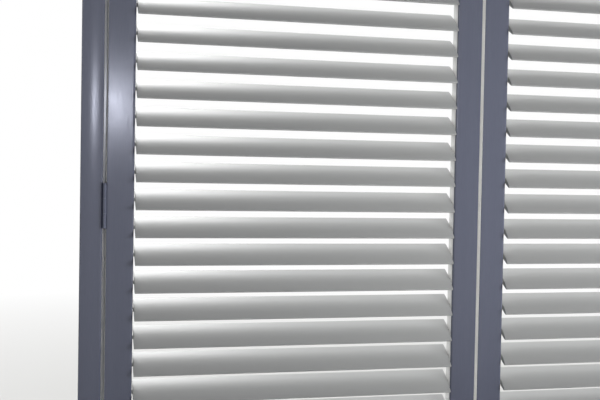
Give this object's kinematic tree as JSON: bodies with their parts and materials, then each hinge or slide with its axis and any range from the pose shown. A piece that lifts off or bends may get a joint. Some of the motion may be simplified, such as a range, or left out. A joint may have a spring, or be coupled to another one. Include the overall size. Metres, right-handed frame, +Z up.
{
  "type": "louvred shutters",
  "caption": "Pair of hinged louvred shutters in a mitred window frame, with louvres that tilt together.",
  "frame": {"origin": "middle of the bottom flange's back face, which lies on the wall", "axes": "+X to the right as seen from the room, +Y away from the room, +Z up"},
  "size_m": [1.668, 0.0591, 1.2421],
  "materials": {
    "frame_paint": "semi-gloss slate blue-grey paint over wood, with fine brush lines",
    "panel_paint": "semi-gloss slate blue-grey paint over wood, with fine brush lines",
    "louvre_paint": "satin pale grey paint over wood",
    "hinge_paint": "paint in the colour of the panels",
    "hinge_pin_steel": "plain drawn wire",
    "gear_plastic": "moulded nylon",
    "key_plastic": "moulded",
    "catch_plastic": "moulded",
    "strike_steel": "zinc plated"
  },
  "bodies": {
    "frame": {"frame_left": "frame_paint", "frame_right": "frame_paint", "frame_top": "frame_paint", "frame_bottom": "frame_paint", "left_stop": "frame_paint", "right_stop": "frame_paint", "top_stop": "frame_paint", "bottom_stop": "frame_paint", "frame_corner_keys": "key_plastic", "frame_hinge_leaves": "hinge_paint", "hinge_pins": "hinge_pin_steel", "magnet_catches": "catch_plastic"},
    "left_panel": {"left_hinge_stile": "panel_paint", "left_meeting_stile": "panel_paint", "left_top_rail": "panel_paint", "left_bottom_rail": "panel_paint", "left_hinge_leaves": "hinge_paint", "left_strike_plates": "strike_steel"},
    "left_louvre_09_body": {"left_louvre_09": "louvre_paint"},
    "left_louvre_01_body": {"left_louvre_01": "louvre_paint"},
    "left_louvre_02_body": {"left_louvre_02": "louvre_paint"},
    "left_louvre_03_body": {"left_louvre_03": "louvre_paint"},
    "left_louvre_04_body": {"left_louvre_04": "louvre_paint"},
    "left_louvre_05_body": {"left_louvre_05": "louvre_paint"},
    "left_louvre_06_body": {"left_louvre_06": "louvre_paint"},
    "left_louvre_07_body": {"left_louvre_07": "louvre_paint"},
    "left_louvre_08_body": {"left_louvre_08": "louvre_paint"},
    "left_louvre_10_body": {"left_louvre_10": "louvre_paint"},
    "left_louvre_11_body": {"left_louvre_11": "louvre_paint"},
    "left_louvre_12_body": {"left_louvre_12": "louvre_paint"},
    "left_louvre_13_body": {"left_louvre_13": "louvre_paint"},
    "left_louvre_14_body": {"left_louvre_14": "louvre_paint"},
    "left_louvre_15_body": {"left_louvre_15": "louvre_paint"},
    "left_louvre_16_body": {"left_louvre_16": "louvre_paint"},
    "left_louvre_17_body": {"left_louvre_17": "louvre_paint"},
    "left_tilt_rack_body": {"left_tilt_rack": "gear_plastic"},
    "right_panel": {"right_hinge_stile": "panel_paint", "right_meeting_stile": "panel_paint", "right_top_rail": "panel_paint", "right_bottom_rail": "panel_paint", "right_hinge_leaves": "hinge_paint", "right_strike_plates": "strike_steel"},
    "right_louvre_09_body": {"right_louvre_09": "louvre_paint"},
    "right_louvre_01_body": {"right_louvre_01": "louvre_paint"},
    "right_louvre_02_body": {"right_louvre_02": "louvre_paint"},
    "right_louvre_03_body": {"right_louvre_03": "louvre_paint"},
    "right_louvre_04_body": {"right_louvre_04": "louvre_paint"},
    "right_louvre_05_body": {"right_louvre_05": "louvre_paint"},
    "right_louvre_06_body": {"right_louvre_06": "louvre_paint"},
    "right_louvre_07_body": {"right_louvre_07": "louvre_paint"},
    "right_louvre_08_body": {"right_louvre_08": "louvre_paint"},
    "right_louvre_10_body": {"right_louvre_10": "louvre_paint"},
    "right_louvre_11_body": {"right_louvre_11": "louvre_paint"},
    "right_louvre_12_body": {"right_louvre_12": "louvre_paint"},
    "right_louvre_13_body": {"right_louvre_13": "louvre_paint"},
    "right_louvre_14_body": {"right_louvre_14": "louvre_paint"},
    "right_louvre_15_body": {"right_louvre_15": "louvre_paint"},
    "right_louvre_16_body": {"right_louvre_16": "louvre_paint"},
    "right_louvre_17_body": {"right_louvre_17": "louvre_paint"},
    "right_tilt_rack_body": {"right_tilt_rack": "gear_plastic"}
  },
  "joints": [
    {"name": "left_panel_swing", "type": "hinge", "parent": "frame", "child": "left_panel", "pos_m": [-0.787, -0.0175, 0.61105], "axis": [0, 0, -1], "range_deg": [0, 170]},
    {"name": "left_tilt", "type": "hinge", "parent": "left_panel", "child": "left_louvre_09_body", "pos_m": [-0.3945, 0.0003, 0.62355], "axis": [1, 0, 0], "range_deg": [-118, 42]},
    {"name": "left_louvre_01_tilt", "type": "hinge", "parent": "left_panel", "child": "left_louvre_01_body", "pos_m": [-0.3945, 0.0003, 0.18675], "axis": [1, 0, 0], "range_deg": [-118, 42]},
    {"name": "left_louvre_02_tilt", "type": "hinge", "parent": "left_panel", "child": "left_louvre_02_body", "pos_m": [-0.3945, 0.0003, 0.24135], "axis": [1, 0, 0], "range_deg": [-118, 42]},
    {"name": "left_louvre_03_tilt", "type": "hinge", "parent": "left_panel", "child": "left_louvre_03_body", "pos_m": [-0.3945, 0.0003, 0.29595], "axis": [1, 0, 0], "range_deg": [-118, 42]},
    {"name": "left_louvre_04_tilt", "type": "hinge", "parent": "left_panel", "child": "left_louvre_04_body", "pos_m": [-0.3945, 0.0003, 0.35055], "axis": [1, 0, 0], "range_deg": [-118, 42]},
    {"name": "left_louvre_05_tilt", "type": "hinge", "parent": "left_panel", "child": "left_louvre_05_body", "pos_m": [-0.3945, 0.0003, 0.40515], "axis": [1, 0, 0], "range_deg": [-118, 42]},
    {"name": "left_louvre_06_tilt", "type": "hinge", "parent": "left_panel", "child": "left_louvre_06_body", "pos_m": [-0.3945, 0.0003, 0.45975], "axis": [1, 0, 0], "range_deg": [-118, 42]},
    {"name": "left_louvre_07_tilt", "type": "hinge", "parent": "left_panel", "child": "left_louvre_07_body", "pos_m": [-0.3945, 0.0003, 0.51435], "axis": [1, 0, 0], "range_deg": [-118, 42]},
    {"name": "left_louvre_08_tilt", "type": "hinge", "parent": "left_panel", "child": "left_louvre_08_body", "pos_m": [-0.3945, 0.0003, 0.56895], "axis": [1, 0, 0], "range_deg": [-118, 42]},
    {"name": "left_louvre_10_tilt", "type": "hinge", "parent": "left_panel", "child": "left_louvre_10_body", "pos_m": [-0.3945, 0.0003, 0.67815], "axis": [1, 0, 0], "range_deg": [-118, 42]},
    {"name": "left_louvre_11_tilt", "type": "hinge", "parent": "left_panel", "child": "left_louvre_11_body", "pos_m": [-0.3945, 0.0003, 0.73275], "axis": [1, 0, 0], "range_deg": [-118, 42]},
    {"name": "left_louvre_12_tilt", "type": "hinge", "parent": "left_panel", "child": "left_louvre_12_body", "pos_m": [-0.3945, 0.0003, 0.78735], "axis": [1, 0, 0], "range_deg": [-118, 42]},
    {"name": "left_louvre_13_tilt", "type": "hinge", "parent": "left_panel", "child": "left_louvre_13_body", "pos_m": [-0.3945, 0.0003, 0.84195], "axis": [1, 0, 0], "range_deg": [-118, 42]},
    {"name": "left_louvre_14_tilt", "type": "hinge", "parent": "left_panel", "child": "left_louvre_14_body", "pos_m": [-0.3945, 0.0003, 0.89655], "axis": [1, 0, 0], "range_deg": [-118, 42]},
    {"name": "left_louvre_15_tilt", "type": "hinge", "parent": "left_panel", "child": "left_louvre_15_body", "pos_m": [-0.3945, 0.0003, 0.95115], "axis": [1, 0, 0], "range_deg": [-118, 42]},
    {"name": "left_louvre_16_tilt", "type": "hinge", "parent": "left_panel", "child": "left_louvre_16_body", "pos_m": [-0.3945, 0.0003, 1.00575], "axis": [1, 0, 0], "range_deg": [-118, 42]},
    {"name": "left_louvre_17_tilt", "type": "hinge", "parent": "left_panel", "child": "left_louvre_17_body", "pos_m": [-0.3945, 0.0003, 1.06035], "axis": [1, 0, 0], "range_deg": [-118, 42]},
    {"name": "left_rack_slide", "type": "slide", "parent": "left_panel", "child": "left_tilt_rack_body", "axis": [0, 0, 1], "range_m": [-0.01236, 0.0044]},
    {"name": "right_panel_swing", "type": "hinge", "parent": "frame", "child": "right_panel", "pos_m": [0.787, -0.0175, 0.61105], "axis": [0, 0, 1], "range_deg": [0, 170]},
    {"name": "right_tilt", "type": "hinge", "parent": "right_panel", "child": "right_louvre_09_body", "pos_m": [0.3945, 0.0003, 0.62355], "axis": [1, 0, 0], "range_deg": [-118, 42]},
    {"name": "right_louvre_01_tilt", "type": "hinge", "parent": "right_panel", "child": "right_louvre_01_body", "pos_m": [0.3945, 0.0003, 0.18675], "axis": [1, 0, 0], "range_deg": [-118, 42]},
    {"name": "right_louvre_02_tilt", "type": "hinge", "parent": "right_panel", "child": "right_louvre_02_body", "pos_m": [0.3945, 0.0003, 0.24135], "axis": [1, 0, 0], "range_deg": [-118, 42]},
    {"name": "right_louvre_03_tilt", "type": "hinge", "parent": "right_panel", "child": "right_louvre_03_body", "pos_m": [0.3945, 0.0003, 0.29595], "axis": [1, 0, 0], "range_deg": [-118, 42]},
    {"name": "right_louvre_04_tilt", "type": "hinge", "parent": "right_panel", "child": "right_louvre_04_body", "pos_m": [0.3945, 0.0003, 0.35055], "axis": [1, 0, 0], "range_deg": [-118, 42]},
    {"name": "right_louvre_05_tilt", "type": "hinge", "parent": "right_panel", "child": "right_louvre_05_body", "pos_m": [0.3945, 0.0003, 0.40515], "axis": [1, 0, 0], "range_deg": [-118, 42]},
    {"name": "right_louvre_06_tilt", "type": "hinge", "parent": "right_panel", "child": "right_louvre_06_body", "pos_m": [0.3945, 0.0003, 0.45975], "axis": [1, 0, 0], "range_deg": [-118, 42]},
    {"name": "right_louvre_07_tilt", "type": "hinge", "parent": "right_panel", "child": "right_louvre_07_body", "pos_m": [0.3945, 0.0003, 0.51435], "axis": [1, 0, 0], "range_deg": [-118, 42]},
    {"name": "right_louvre_08_tilt", "type": "hinge", "parent": "right_panel", "child": "right_louvre_08_body", "pos_m": [0.3945, 0.0003, 0.56895], "axis": [1, 0, 0], "range_deg": [-118, 42]},
    {"name": "right_louvre_10_tilt", "type": "hinge", "parent": "right_panel", "child": "right_louvre_10_body", "pos_m": [0.3945, 0.0003, 0.67815], "axis": [1, 0, 0], "range_deg": [-118, 42]},
    {"name": "right_louvre_11_tilt", "type": "hinge", "parent": "right_panel", "child": "right_louvre_11_body", "pos_m": [0.3945, 0.0003, 0.73275], "axis": [1, 0, 0], "range_deg": [-118, 42]},
    {"name": "right_louvre_12_tilt", "type": "hinge", "parent": "right_panel", "child": "right_louvre_12_body", "pos_m": [0.3945, 0.0003, 0.78735], "axis": [1, 0, 0], "range_deg": [-118, 42]},
    {"name": "right_louvre_13_tilt", "type": "hinge", "parent": "right_panel", "child": "right_louvre_13_body", "pos_m": [0.3945, 0.0003, 0.84195], "axis": [1, 0, 0], "range_deg": [-118, 42]},
    {"name": "right_louvre_14_tilt", "type": "hinge", "parent": "right_panel", "child": "right_louvre_14_body", "pos_m": [0.3945, 0.0003, 0.89655], "axis": [1, 0, 0], "range_deg": [-118, 42]},
    {"name": "right_louvre_15_tilt", "type": "hinge", "parent": "right_panel", "child": "right_louvre_15_body", "pos_m": [0.3945, 0.0003, 0.95115], "axis": [1, 0, 0], "range_deg": [-118, 42]},
    {"name": "right_louvre_16_tilt", "type": "hinge", "parent": "right_panel", "child": "right_louvre_16_body", "pos_m": [0.3945, 0.0003, 1.00575], "axis": [1, 0, 0], "range_deg": [-118, 42]},
    {"name": "right_louvre_17_tilt", "type": "hinge", "parent": "right_panel", "child": "right_louvre_17_body", "pos_m": [0.3945, 0.0003, 1.06035], "axis": [1, 0, 0], "range_deg": [-118, 42]},
    {"name": "right_rack_slide", "type": "slide", "parent": "right_panel", "child": "right_tilt_rack_body", "axis": [0, 0, 1], "range_m": [-0.01236, 0.0044]}
  ],
  "couplings": [
    {"joint": "left_louvre_01_tilt", "follows": "left_tilt", "ratio": 1},
    {"joint": "left_louvre_02_tilt", "follows": "left_tilt", "ratio": 1},
    {"joint": "left_louvre_03_tilt", "follows": "left_tilt", "ratio": 1},
    {"joint": "left_louvre_04_tilt", "follows": "left_tilt", "ratio": 1},
    {"joint": "left_louvre_05_tilt", "follows": "left_tilt", "ratio": 1},
    {"joint": "left_louvre_06_tilt", "follows": "left_tilt", "ratio": 1},
    {"joint": "left_louvre_07_tilt", "follows": "left_tilt", "ratio": 1},
    {"joint": "left_louvre_08_tilt", "follows": "left_tilt", "ratio": 1},
    {"joint": "left_louvre_10_tilt", "follows": "left_tilt", "ratio": 1},
    {"joint": "left_louvre_11_tilt", "follows": "left_tilt", "ratio": 1},
    {"joint": "left_louvre_12_tilt", "follows": "left_tilt", "ratio": 1},
    {"joint": "left_louvre_13_tilt", "follows": "left_tilt", "ratio": 1},
    {"joint": "left_louvre_14_tilt", "follows": "left_tilt", "ratio": 1},
    {"joint": "left_louvre_15_tilt", "follows": "left_tilt", "ratio": 1},
    {"joint": "left_louvre_16_tilt", "follows": "left_tilt", "ratio": 1},
    {"joint": "left_louvre_17_tilt", "follows": "left_tilt", "ratio": 1},
    {"joint": "left_rack_slide", "follows": "left_tilt", "m_per_rad": 0.006},
    {"joint": "right_louvre_01_tilt", "follows": "right_tilt", "ratio": 1},
    {"joint": "right_louvre_02_tilt", "follows": "right_tilt", "ratio": 1},
    {"joint": "right_louvre_03_tilt", "follows": "right_tilt", "ratio": 1},
    {"joint": "right_louvre_04_tilt", "follows": "right_tilt", "ratio": 1},
    {"joint": "right_louvre_05_tilt", "follows": "right_tilt", "ratio": 1},
    {"joint": "right_louvre_06_tilt", "follows": "right_tilt", "ratio": 1},
    {"joint": "right_louvre_07_tilt", "follows": "right_tilt", "ratio": 1},
    {"joint": "right_louvre_08_tilt", "follows": "right_tilt", "ratio": 1},
    {"joint": "right_louvre_10_tilt", "follows": "right_tilt", "ratio": 1},
    {"joint": "right_louvre_11_tilt", "follows": "right_tilt", "ratio": 1},
    {"joint": "right_louvre_12_tilt", "follows": "right_tilt", "ratio": 1},
    {"joint": "right_louvre_13_tilt", "follows": "right_tilt", "ratio": 1},
    {"joint": "right_louvre_14_tilt", "follows": "right_tilt", "ratio": 1},
    {"joint": "right_louvre_15_tilt", "follows": "right_tilt", "ratio": 1},
    {"joint": "right_louvre_16_tilt", "follows": "right_tilt", "ratio": 1},
    {"joint": "right_louvre_17_tilt", "follows": "right_tilt", "ratio": 1},
    {"joint": "right_rack_slide", "follows": "right_tilt", "m_per_rad": 0.006}
  ]
}
